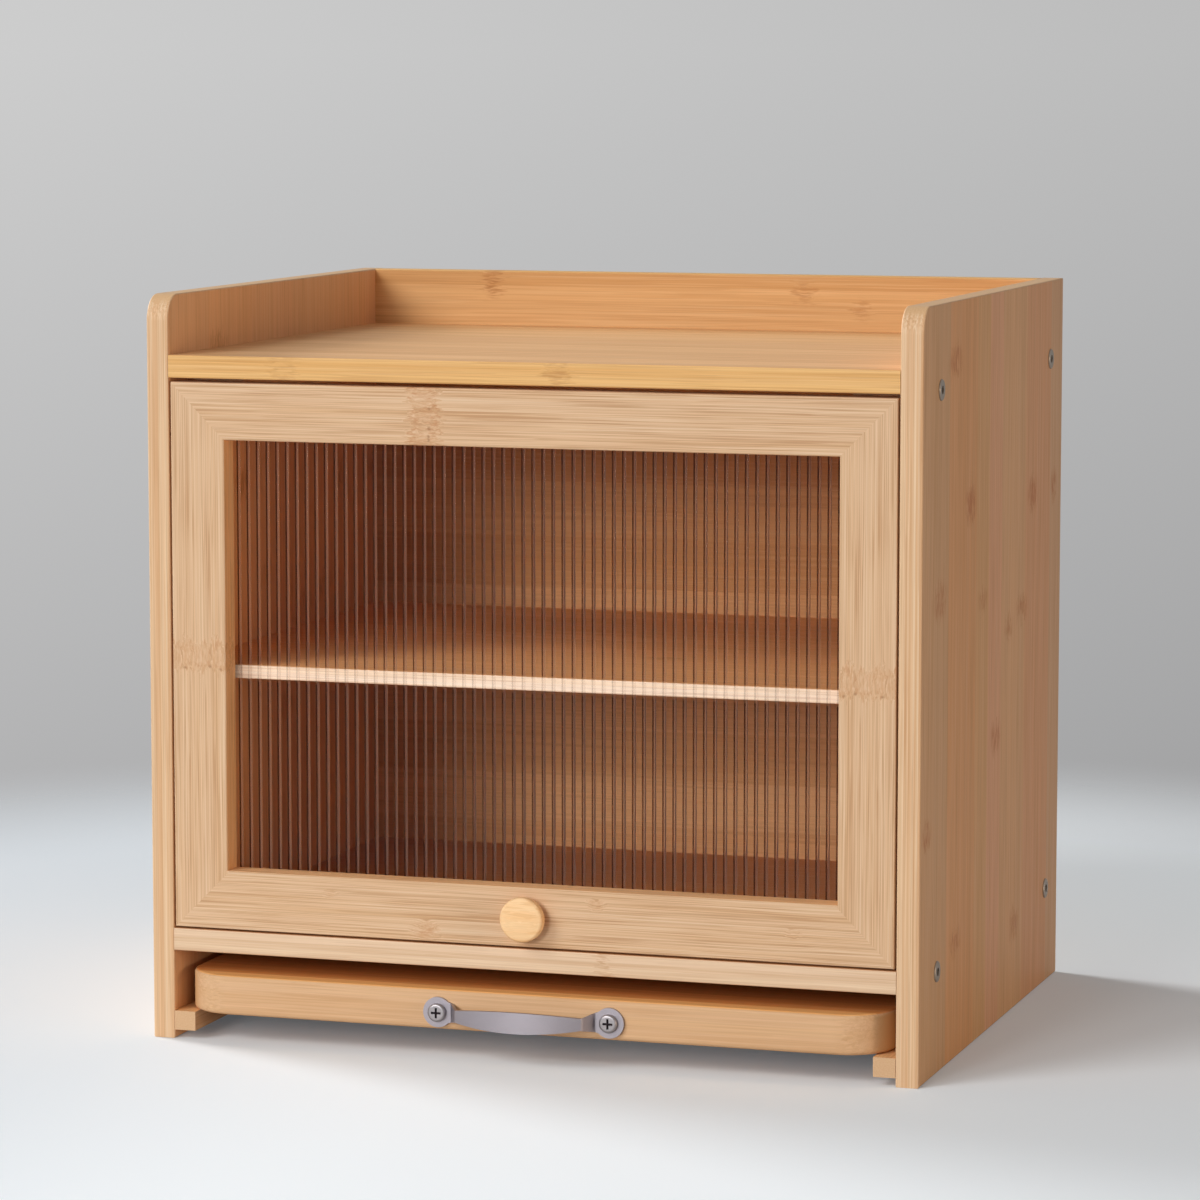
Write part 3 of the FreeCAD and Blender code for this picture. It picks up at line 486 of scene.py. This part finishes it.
    # each speck is about 0.8 mm across
    specks = addNode(tree, "ShaderNodeTexVoronoi", {},
                     {"Vector": straight, "Scale": 1 / look["speckSpacing"]})
    speckSize = addNode(tree, "ShaderNodeMapRange", {}, {
        0: (specks, "Distance"), 1: look["speckCore"], 2: look["speckRim"],
        3: look["speckShare"], 4: 0.0})
    speckAmount = addNode(tree, "ShaderNodeMath", {"operation": "MULTIPLY"}, {0: speckSize, 1: bothRows})
    color = addNode(tree, "ShaderNodeMix", {"data_type": "RGBA"},
                    {0: speckAmount, 6: (knuckled, 2), 7: linearColor(look["speckTint"])})
    lacqueredWood(tree, output, (color, 2), bundle)
    return material


# The knob is turned from paler solid bamboo, its fibres level across the face
knobLook = {
    "fibreLength": 40, "fibreWidth": 1.6, "fibreStrength": 0.3, "bandLength": 60, "bandWidth": 4,
    "tints": ["#F5C488", "#FACC96", "#FCD4A2", "#F7C88F"], "fibreTint": "#DDA260", "paleTint": "#FBDAAC",
}


def turnedBamboo(name, look):
    material, tree, output = newMaterial(name)
    place = placeInMm(tree)[0]
    grainPoint = addNode(tree, "ShaderNodeCombineXYZ", {},
                         {0: (place, "X"), 1: (place, "Z"), 2: (place, "Y")})
    tone = drawnOut(tree, grainPoint, look["bandLength"], look["bandWidth"], 1.0)
    ground = addNode(tree, "ShaderNodeValToRGB", {"stops": evenStops(look["tints"])}, {0: tone})
    grained, bundle = grainOver(tree, grainPoint, ground, look)
    lacqueredWood(tree, output, grained, bundle)
    return material


# Extruded clear acrylic: almost colourless and glossy. Each rib's crown carries a fine pale line, a
# painted highlight done as a faint frost, and its steep flank a fine dark line of painted shade. Places
# are in mm.
acrylicLook = {
    "ior": 1.49, "clearTint": "#FFF7F0", "glossTint": "#6E6E6E",
    "smooth": 0.01, "hazy": 0.04, "hazeScale": 0.04,
    "ribPitch": 5.2, "ribFace": -131.6,
    # crown: a painted highlight, done as a faint frost; flank: painted shade
    "crownPlace": 0.5, "crownHalfWidth": 0.48, "crownGlintShare": 0.1, "crownGlintTint": "#D8C4BC",
    "flankPlace": -0.6, "flankHalfWidth": 0.6, "flankShadeTint": "#563A32", "lineCore": 0.6, "lineRim": 1.2,
    "shelfMiddle": 187.3, "shelfHalf": 4.2, "shelfSoft": 0.6, "shelfFade": 0.5,
}


def clearAcrylic(name, look):
    material, tree, output = newMaterial(name)
    place = placeInMm(tree)[0]
    path = addNode(tree, "ShaderNodeLightPath")
    ribNumber = addNode(tree, "ShaderNodeMath", {"operation": "MULTIPLY_ADD"},
                        {0: (place, "X"), 1: 1 / look["ribPitch"], 2: 0.5})
    inRib = addNode(tree, "ShaderNodeMath", {"operation": "FRACT"}, {0: ribNumber})
    offRib = addNode(tree, "ShaderNodeMath", {"operation": "SUBTRACT"}, {0: inRib, 1: 0.5})
    ribSide = addNode(tree, "ShaderNodeMath", {"operation": "LESS_THAN"},
                      {0: (place, "Y"), 1: look["ribFace"]})
    # both lines are painted: the glint and the dark inside that a rib bends into view, so they fade where
    # the shelf's pale edge lies behind them
    fromShelf = addNode(tree, "ShaderNodeMath", {"operation": "SUBTRACT"},
                        {0: (place, "Z"), 1: look["shelfMiddle"]})
    offShelf = addNode(tree, "ShaderNodeMath", {"operation": "ABSOLUTE"}, {0: fromShelf})
    shelfFade = addNode(tree, "ShaderNodeMapRange", {}, {
        0: offShelf, 1: look["shelfHalf"] - look["shelfSoft"], 2: look["shelfHalf"] + look["shelfSoft"],
        3: look["shelfFade"], 4: 1.0})
    showing = addNode(tree, "ShaderNodeMath", {"operation": "MULTIPLY"}, {0: ribSide, 1: shelfFade})
    lines = []
    for stripe in ("crown", "flank"):
        away = addNode(tree, "ShaderNodeMath", {"operation": "SUBTRACT"},
                       {0: offRib, 1: look[stripe + "Place"] / look["ribPitch"]})
        distance = addNode(tree, "ShaderNodeMath", {"operation": "ABSOLUTE"}, {0: away})
        halfWidth = look[stripe + "HalfWidth"] / look["ribPitch"]
        line = addNode(tree, "ShaderNodeMapRange", {"interpolation_type": "SMOOTHSTEP"},
                       {0: distance, 1: halfWidth * look["lineCore"], 2: halfWidth * look["lineRim"],
                        3: 1.0, 4: 0.0})
        lines.append(addNode(tree, "ShaderNodeMath", {"operation": "MULTIPLY"}, {0: line, 1: showing}))
    crownGlint, flank = lines
    # the crown's painted highlight lets a little less through and is paler; the flank's painted shade is
    # darker
    clearness = addNode(tree, "ShaderNodeMath", {"operation": "MULTIPLY_ADD"},
                        {0: crownGlint, 1: -look["crownGlintShare"], 2: 1.0})
    tint = addNode(tree, "ShaderNodeMix", {"data_type": "RGBA"},
                   {0: crownGlint, 6: linearColor(look["clearTint"]), 7: linearColor(look["crownGlintTint"])})
    flankShaded = addNode(tree, "ShaderNodeMix", {"data_type": "RGBA"},
                      {0: flank, 6: (tint, 2), 7: linearColor(look["flankShadeTint"])})
    haze = addNode(tree, "ShaderNodeTexNoise", {}, {
        "Vector": (place, "X"), "Scale": look["hazeScale"], "Detail": 2.0})
    roughness = addNode(tree, "ShaderNodeMapRange", {}, {0: haze, 3: look["smooth"], 4: look["hazy"]})
    clear = addNode(tree, "ShaderNodeBsdfPrincipled", {}, {
        "Base Color": (flankShaded, 2), "Roughness": roughness, "IOR": look["ior"],
        "Specular Tint": linearColor(look["glossTint"]), "Transmission Weight": clearness})
    # lamplight goes straight through the thin sheet
    through = addNode(tree, "ShaderNodeBsdfTransparent", {}, {"Color": linearColor("#FFFFFF")})
    lampRay = addNode(tree, "ShaderNodeMath", {"operation": "MAXIMUM"},
                      {0: (path, "Is Shadow Ray"), 1: (path, "Is Diffuse Ray")})
    mixed = addNode(tree, "ShaderNodeMixShader", {}, {0: lampRay, 1: clear, 2: through})
    tree.links.new(mixed.outputs[0], output.inputs[0])
    return material


# Steel with a satin plating, brushed lightly: a soft grey with a blurred shine. On the wood screws the
# driver recesses and the sides of the heads are painted dark: painted shade.
brush = {
    "stretch": 40, "low": 0.3, "high": 0.7, "roughSpan": 0.06, "dark": 0.95, "light": 1.04,
    "bumpStrength": 0.15, "bumpHeight": 0.00003,  # in metres
}


def metal(name, look):
    material, tree, output = newMaterial(name)
    place = placeInMm(tree)[0]
    stretch = [1 / look["brushWidth"]] * 3
    stretch["XYZ".index(look["brushAxis"])] = 1 / (look["brushWidth"] * brush["stretch"])
    point = addNode(tree, "ShaderNodeCombineXYZ", {}, {0: (place, "X"), 1: (place, "Y"), 2: (place, "Z")})
    scaled = addNode(tree, "ShaderNodeVectorMath", {"operation": "MULTIPLY"},
                     {0: point, 1: tuple(stretch)})
    lines = addNode(tree, "ShaderNodeTexNoise", {}, {"Vector": scaled, "Scale": 1.0, "Detail": 2.0})
    rough = addNode(tree, "ShaderNodeMapRange", {}, {
        0: lines, 1: brush["low"], 2: brush["high"],
        3: look["roughness"] - brush["roughSpan"], 4: look["roughness"] + brush["roughSpan"]})
    shade = addNode(tree, "ShaderNodeMapRange", {},
                    {0: lines, 1: brush["low"], 2: brush["high"], 3: brush["dark"], 4: brush["light"]})
    color = addNode(tree, "ShaderNodeVectorMath", {"operation": "SCALE"},
                    {0: linearColor(look["tint"])[:3], "Scale": shade})
    if "recess" in look:
        # painted shade: how far a point lies from the nearest screw's axis, and whether it lies deeper
        # than the head's face, where the recess and the head's side are painted dark
        recess = look["recess"]
        wide = addNode(tree, "ShaderNodeMath", {"operation": "ABSOLUTE"},
                       {0: (place, recess["wideAxis"])})
        wideOff = addNode(tree, "ShaderNodeMath", {"operation": "SUBTRACT"}, {0: wide, 1: recess["wide"]})
        highOff = addNode(tree, "ShaderNodeMath", {"operation": "SUBTRACT"},
                          {0: (place, "Z"), 1: recess["high"]})
        offset = addNode(tree, "ShaderNodeCombineXYZ", {}, {0: wideOff, 1: highOff})
        reach = addNode(tree, "ShaderNodeVectorMath", {"operation": "LENGTH"}, {0: offset})
        near = addNode(tree, "ShaderNodeMath", {"operation": "LESS_THAN"},
                       {0: (reach, "Value"), 1: recess["reach"]})
        sunk = addNode(tree, "ShaderNodeMath", {"operation": "GREATER_THAN"},
                       {0: (place, "Y"), 1: recess["face"]})
        paintedShade = addNode(tree, "ShaderNodeMath", {"operation": "MULTIPLY"}, {0: near, 1: sunk})
        shadedColor = addNode(tree, "ShaderNodeMix", {"data_type": "RGBA"},
                        {0: paintedShade, 6: color, 7: linearColor(recess["tint"])})
        color = (shadedColor, 2)
    bump = addNode(tree, "ShaderNodeBump", {}, {
        "Strength": brush["bumpStrength"], "Distance": brush["bumpHeight"], "Height": lines})
    shader = addNode(tree, "ShaderNodeBsdfPrincipled", {}, {
        "Base Color": color, "Metallic": 1.0, "Roughness": rough, "Normal": bump})
    tree.links.new(shader.outputs[0], output.inputs[0])
    return material


# A satin strap, plain plating on the wood screws and pins, a duller one on the side screws, and
# smooth bright nickel on the magnets and the discs that they meet. Places of the painted recess shade are
# in mm.
strapLook = {"tint": "#A49EA4", "roughness": 0.46, "brushAxis": "X", "brushWidth": 0.25}
platedLook = {"tint": "#A9A39D", "roughness": 0.36, "brushAxis": "X", "brushWidth": 0.3}
sideScrewLook = {"tint": "#A1968A", "roughness": 0.5, "brushAxis": "Y", "brushWidth": 0.3}
handleScrewLook = {
    "tint": "#A09B9D", "roughness": 0.42, "brushAxis": "X", "brushWidth": 0.3,
    # painted shade in each driver recess and on each head's side
    "recess": {"wideAxis": "X", "wide": 44.75, "high": 23.4, "reach": 3.1, "face": -152.0,
               "tint": "#2E2629"},
}
nickelLook = {"tint": "#C6C2B8", "roughness": 0.2, "brushAxis": "X", "brushWidth": 0.3}

finishes = {
    "left_side_panel": laminatedBamboo("bambooSideLeft", leftSideLook),
    "right_side_panel": laminatedBamboo("bambooSideRight", shadeSideLook),
    "top_board": laminatedBamboo("bambooTopBoard", boardLook),
    "bottom_board": laminatedBamboo("bambooBottomBoard", bottomLook),
    "back_board": laminatedBamboo("bambooBackBoard", backLook),
    "shelf": laminatedBamboo("bambooShelf", shelfLook),
    "cutting_board": laminatedBamboo("bambooCuttingBoard", cuttingLook),
    "knob": turnedBamboo("turnedBamboo", knobLook),
    "fluted_panel": clearAcrylic("clearAcrylic", acrylicLook),
    "board_handle": metal("satinSteel", strapLook),
    "handle_screws": metal("handleScrewSteel", handleScrewLook),
}
railBamboo = laminatedBamboo("bambooRail", railLook)
doorBamboo = mitredBamboo("bambooDoor", doorLook)
platedSteel = metal("platedSteel", platedLook)
dullSteel = metal("dullSteel", sideScrewLook)
nickel = metal("nickel", nickelLook)
for nodeName in nodes:
    if nodeName in finishes:
        continue
    if nodeName.startswith("door_"):
        finishes[nodeName] = doorBamboo
    elif nodeName.endswith(("cleat", "rail", "block")):
        finishes[nodeName] = railBamboo
    elif nodeName in ("catch_magnets", "strike_plates"):
        finishes[nodeName] = nickel
    elif nodeName.endswith("side_screws"):
        finishes[nodeName] = dullSteel
    else:
        finishes[nodeName] = platedSteel
for nodeName, material in finishes.items():
    for slot in nodes[nodeName].material_slots:
        slot.material = material
print("materials set on", len(finishes), "nodes")

# A pale matt sweep that the object stands on, which fades out into the backdrop. In metres.
floorLook = {
    "radius": 2.6, "segments": 96, "below": 0.0001, "edgeStart": 0.55, "edgeEnd": 0.95,
    "tint": "#F5F9FC", "leftTint": "#DBE0E5", "darkerFrom": 0.0, "darkestAt": -0.36,
    "shadowTint": "#464D51", "bounceTint": "#C2C2C2",
}


def makeFloor(look):
    mesh = bmesh.new()
    bmesh.ops.create_circle(mesh, cap_ends=True, segments=look["segments"], radius=look["radius"],
                            matrix=Matrix.Translation((0, 0, -look["below"])))
    data = bpy.data.meshes.new("studioFloor")
    mesh.to_mesh(data)
    mesh.free()
    floor = bpy.data.objects.new("studioFloor", data)
    bpy.context.scene.collection.objects.link(floor)
    material, tree, output = newMaterial("studioFloor")
    texture = addNode(tree, "ShaderNodeTexCoord")
    away = addNode(tree, "ShaderNodeVectorMath", {"operation": "LENGTH"}, {0: (texture, "Object")})
    fade = addNode(tree, "ShaderNodeMapRange", {"interpolation_type": "SMOOTHSTEP"},
                   {0: (away, "Value"), 1: look["edgeStart"], 2: look["edgeEnd"]})
    # a little darker towards the lamps, so that it looks evenly lit
    place = addNode(tree, "ShaderNodeSeparateXYZ", {}, {0: (texture, "Object")})
    rightward = addNode(tree, "ShaderNodeMapRange", {"interpolation_type": "SMOOTHSTEP"},
                        {0: (place, "X"), 1: look["darkestAt"], 2: look["darkerFrom"]})
    tint = addNode(tree, "ShaderNodeMix", {"data_type": "RGBA"},
                   {0: rightward, 6: linearColor(look["leftTint"]), 7: linearColor(look["tint"])})
    path = addNode(tree, "ShaderNodeLightPath")
    color = addNode(tree, "ShaderNodeMix", {"data_type": "RGBA"},
                    {0: (path, "Is Diffuse Ray"), 6: (tint, 2), 7: linearColor(look["bounceTint"])})
    matt = addNode(tree, "ShaderNodeBsdfDiffuse", {}, {"Color": (color, 2)})
    # a pale sweep: the shadows on it never get darker than a soft grey
    lift = addNode(tree, "ShaderNodeEmission", {},
                   {"Color": linearColor(look["shadowTint"]), "Strength": (path, "Is Camera Ray")})
    lifted = addNode(tree, "ShaderNodeAddShader", {}, {0: matt, 1: lift})
    gone = addNode(tree, "ShaderNodeBsdfTransparent")
    mixed = addNode(tree, "ShaderNodeMixShader", {}, {0: fade, 1: lifted, 2: gone})
    tree.links.new(mixed.outputs[0], output.inputs[0])
    data.materials.append(material)


makeFloor(floorLook)

# A plain grey wall for the camera and for reflections, and a faint even light for the rest
backdropLook = {
    "top": "#C8C8C8", "bottom": "#ABABAC", "lowest": -0.17, "light": "#FFFFFF", "strength": 0.2,
    "leftShade": 1.05, "rightShade": 0.87, "leftEnd": -0.42, "rightEnd": -0.18,
}


def makeWorld(look):
    world = bpy.data.worlds.new("studio")
    bpy.context.scene.world = world
    world.use_nodes = True
    tree = world.node_tree
    tree.nodes.clear()
    texture = addNode(tree, "ShaderNodeTexCoord")
    direction = addNode(tree, "ShaderNodeSeparateXYZ", {}, {0: (texture, "Generated")})
    height = addNode(tree, "ShaderNodeMapRange", {}, {0: (direction, "Z"), 1: look["lowest"], 2: 0.0})
    seen = addNode(tree, "ShaderNodeMix", {"data_type": "RGBA"},
                   {0: height, 6: linearColor(look["bottom"]), 7: linearColor(look["top"])})
    # the wall darkens a little towards the right
    shade = addNode(tree, "ShaderNodeMapRange", {}, {
        0: (direction, "X"), 1: look["leftEnd"], 2: look["rightEnd"],
        3: look["leftShade"], 4: look["rightShade"]})
    backdrop = addNode(tree, "ShaderNodeBackground", {}, {"Color": (seen, 2), "Strength": shade})
    glow = addNode(tree, "ShaderNodeBackground", {},
                   {"Color": linearColor(look["light"]), "Strength": look["strength"]})
    path = addNode(tree, "ShaderNodeLightPath")
    mirrored = addNode(tree, "ShaderNodeMath", {"operation": "MAXIMUM"},
                       {0: (path, "Is Glossy Ray"), 1: (path, "Is Transmission Ray")})
    looking = addNode(tree, "ShaderNodeMath", {"operation": "MAXIMUM"},
                      {0: (path, "Is Camera Ray"), 1: mirrored})
    mixed = addNode(tree, "ShaderNodeMixShader", {}, {0: looking, 1: glow, 2: backdrop})
    addNode(tree, "ShaderNodeOutputWorld", {}, {0: mixed})


makeWorld(backdropLook)

# Places and sizes are in metres, and power is in watts
lamps = {
    "keyLamp": {"place": (-2.42, -3.33, 2.65), "size": 2.4, "power": 104, "tint": "#FFFFFF"},
    "frontLamp": {"place": (-0.6, -3.5, 0.9), "size": 1.0, "power": 42, "tint": "#FFFFFF"},
    "sideLamp": {"place": (2.9, -0.95, 0.34), "size": 0.8, "power": 18.2, "tint": "#FFE0C0"},
    "backLamp": {"place": (-7.2, 2.4, 3.2), "size": 2.8, "power": 520, "tint": "#FFFFFF"},
}
lampAim = 0.18  # they all point at the object's middle


def makeLamp(name, look):
    lamp = bpy.data.lights.new(name, "AREA")
    lamp.shape = "DISK"
    lamp.size = look["size"]
    lamp.energy = look["power"]
    lamp.color = linearColor(look["tint"])[:3]
    lampObject = bpy.data.objects.new(name, lamp)
    lampObject.location = look["place"]
    toMiddle = Vector((0, 0, lampAim)) - lampObject.location
    lampObject.rotation_euler = toMiddle.to_track_quat("-Z", "Y").to_euler()
    bpy.context.scene.collection.objects.link(lampObject)


for lampName, look in lamps.items():
    makeLamp(lampName, look)

# The lens and its sensor are in mm, and the turns are in degrees
cameraLook = {
    "place": (0.7389, -2.3248, 0.4981), "lens": 141.71, "sensor": 36, "down": 6.623, "turn": 17.81,
}
camera = bpy.data.objects.new("camera", bpy.data.cameras.new("camera"))
camera.location = cameraLook["place"]
camera.rotation_euler = (math.radians(90 - cameraLook["down"]), 0, math.radians(cameraLook["turn"]))
camera.data.lens = cameraLook["lens"]
camera.data.sensor_width = cameraLook["sensor"]
bpy.context.scene.collection.objects.link(camera)
bpy.context.scene.camera = camera
bpy.context.scene.view_settings.view_transform = "Standard"
print("camera and lamps placed")
